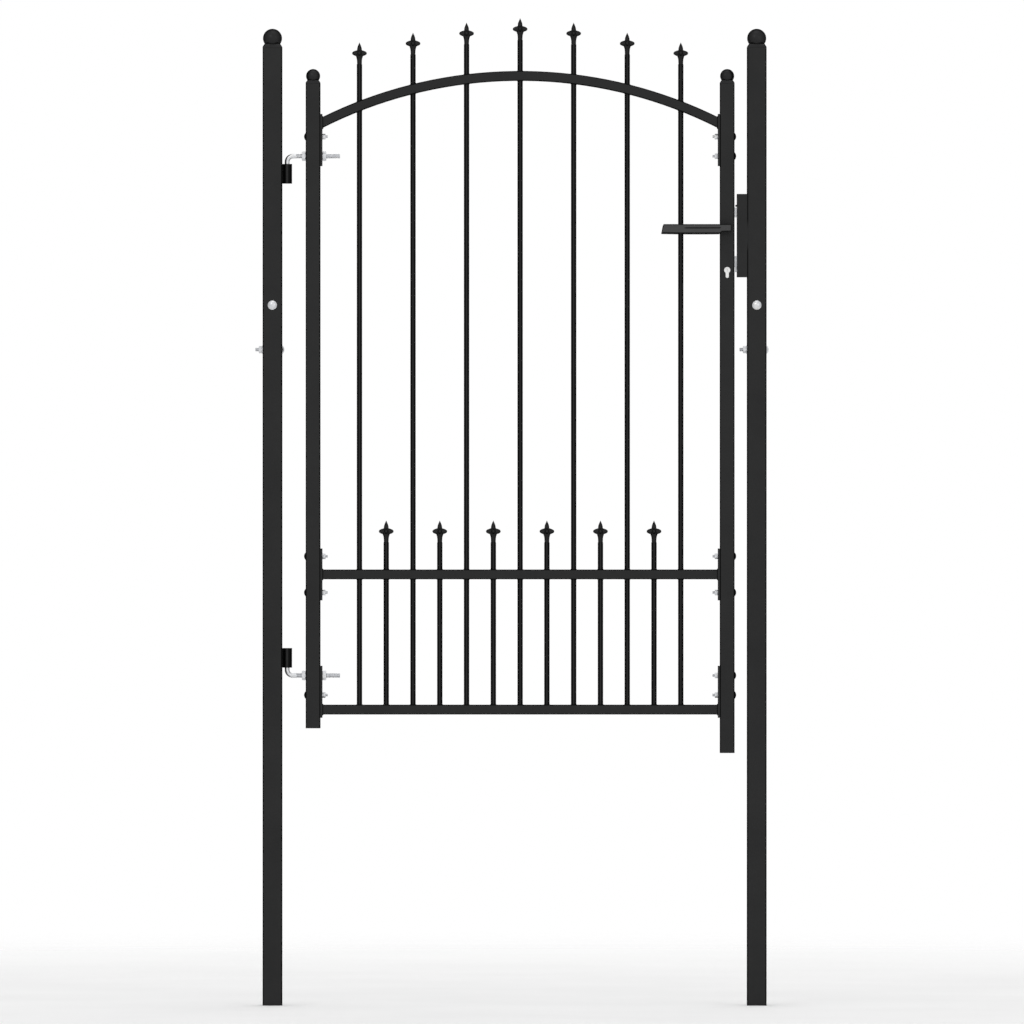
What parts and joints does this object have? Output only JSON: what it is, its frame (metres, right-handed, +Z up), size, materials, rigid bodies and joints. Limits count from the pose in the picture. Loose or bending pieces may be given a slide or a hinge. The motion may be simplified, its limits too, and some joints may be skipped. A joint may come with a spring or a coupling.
{
  "type": "garden gate",
  "caption": "Steel garden gate with an arched top rail and spear-topped pickets, hung on hook hinges between square posts, with lever handles and a mortice lock.",
  "frame": {"origin": "midway between the two posts at their feet, on the leaf's mid-plane", "axes": "+X from the hinge post to the lock post, +Y from the front to the back, +Z up"},
  "size_m": [1.0495, 0.118, 2.018],
  "materials": {
    "powder_coat": "satin black powder coat",
    "black_plastic": "moulded, slightly glossy",
    "zinc_plate": "bright zinc plated",
    "lock_steel": "galvanised sheet and sintered steel",
    "nickel_plate": "satin nickel plated"
  },
  "bodies": {
    "posts": {"left_post": "powder_coat", "right_post": "powder_coat", "left_post_cap": "black_plastic", "right_post_cap": "black_plastic", "upper_hinge_barrel": "powder_coat", "lower_hinge_barrel": "powder_coat", "keeper": "powder_coat", "post_bolts": "zinc_plate", "post_nuts": "zinc_plate", "post_washers": "zinc_plate"},
    "leaf": {"hinge_stile": "powder_coat", "lock_stile": "powder_coat", "hinge_stile_cap": "black_plastic", "lock_stile_cap": "black_plastic", "arch_rail": "powder_coat", "middle_rail": "powder_coat", "bottom_rail": "powder_coat", "picket_1": "powder_coat", "picket_2": "powder_coat", "picket_3": "powder_coat", "picket_4": "powder_coat", "picket_5": "powder_coat", "picket_6": "powder_coat", "picket_7": "powder_coat", "short_picket_1": "powder_coat", "short_picket_2": "powder_coat", "short_picket_3": "powder_coat", "short_picket_4": "powder_coat", "short_picket_5": "powder_coat", "short_picket_6": "powder_coat", "picket_spears": "powder_coat", "hinge_top_plate": "powder_coat", "hinge_middle_plate": "powder_coat", "hinge_bottom_plate": "powder_coat", "lock_top_plate": "powder_coat", "lock_middle_plate": "powder_coat", "lock_bottom_plate": "powder_coat", "plate_bolts": "powder_coat", "plate_nuts": "zinc_plate", "plate_washers": "zinc_plate", "upper_hinge_hook": "zinc_plate", "lower_hinge_hook": "zinc_plate", "hinge_nuts": "zinc_plate", "lock_case": "lock_steel", "lock_cover": "lock_steel", "forend": "zinc_plate", "forend_screws": "zinc_plate", "cylinder_body": "nickel_plate", "cylinder_screw": "zinc_plate", "latch_spring": "zinc_plate"},
    "handle": {"front_lever": "powder_coat", "back_lever": "powder_coat", "spindle": "zinc_plate", "follower": "lock_steel", "lever_grub_screws": "zinc_plate"},
    "latch": {"latch_bolt": "zinc_plate"},
    "deadbolt": {"dead_bolt": "zinc_plate"},
    "key_cylinder": {"cylinder_plug": "nickel_plate", "cylinder_cam": "lock_steel"}
  },
  "joints": [
    {"name": "leaf_swing", "type": "hinge", "parent": "posts", "child": "leaf", "pos_m": [-0.465, 0, 1.2], "axis": [0, 0, 1], "range_deg": [-95, 95]},
    {"name": "handle_turn", "type": "hinge", "parent": "leaf", "child": "handle", "pos_m": [0.4346, 0, 1.5885], "axis": [0, -1, 0], "range_deg": [0, 36], "stiffness_Nm_per_rad": 1.2, "springref_deg": -28.65},
    {"name": "latch_slide", "type": "slide", "parent": "leaf", "child": "latch", "axis": [-1, 0, 0], "range_m": [0, 0.0115], "deforming": ["latch_spring"]},
    {"name": "key_turn", "type": "hinge", "parent": "leaf", "child": "key_cylinder", "pos_m": [0.4346, 0, 1.503], "axis": [0, -1, 0], "range_deg": [0, 60]},
    {"name": "dead_bolt_slide", "type": "slide", "parent": "leaf", "child": "deadbolt", "axis": [-1, 0, 0], "range_m": [0, 0.01]}
  ],
  "couplings": [
    {"joint": "latch_slide", "follows": "handle_turn", "m_per_rad": 0.018},
    {"joint": "key_turn", "follows": "dead_bolt_slide", "rad_per_m": 104.7}
  ]
}
